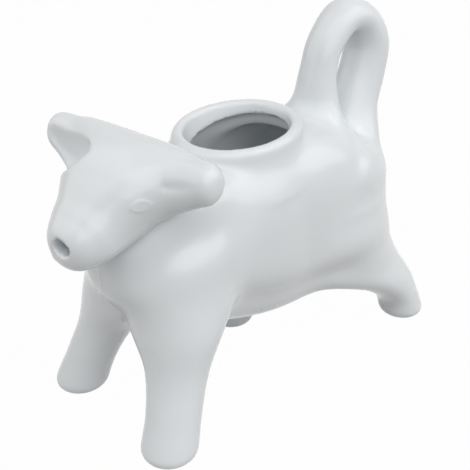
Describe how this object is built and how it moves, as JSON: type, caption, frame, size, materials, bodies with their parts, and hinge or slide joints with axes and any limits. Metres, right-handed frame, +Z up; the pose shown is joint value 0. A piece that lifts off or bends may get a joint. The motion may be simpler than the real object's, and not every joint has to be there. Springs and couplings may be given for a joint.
{
  "type": "cow creamer",
  "caption": "Glazed porcelain creamer shaped as a walking cow, with an oval filling mouth in the back, a pouring hole in the muzzle and a looped tail handle.",
  "frame": {"origin": "on the standing plane, under the middle of the creamer's length and width", "axes": "+Z up, the cow looks toward -Y, its left side is +X"},
  "size_m": [0.0617, 0.1336, 0.1102],
  "materials": {
    "glaze": "glossy white glaze over porcelain"
  },
  "bodies": {
    "root": {"body_shell": "glaze", "head_shell": "glaze", "front_left_leg": "glaze", "front_right_leg": "glaze", "rear_left_leg": "glaze", "rear_right_leg": "glaze", "tail_handle": "glaze"}
  },
  "joints": []
}
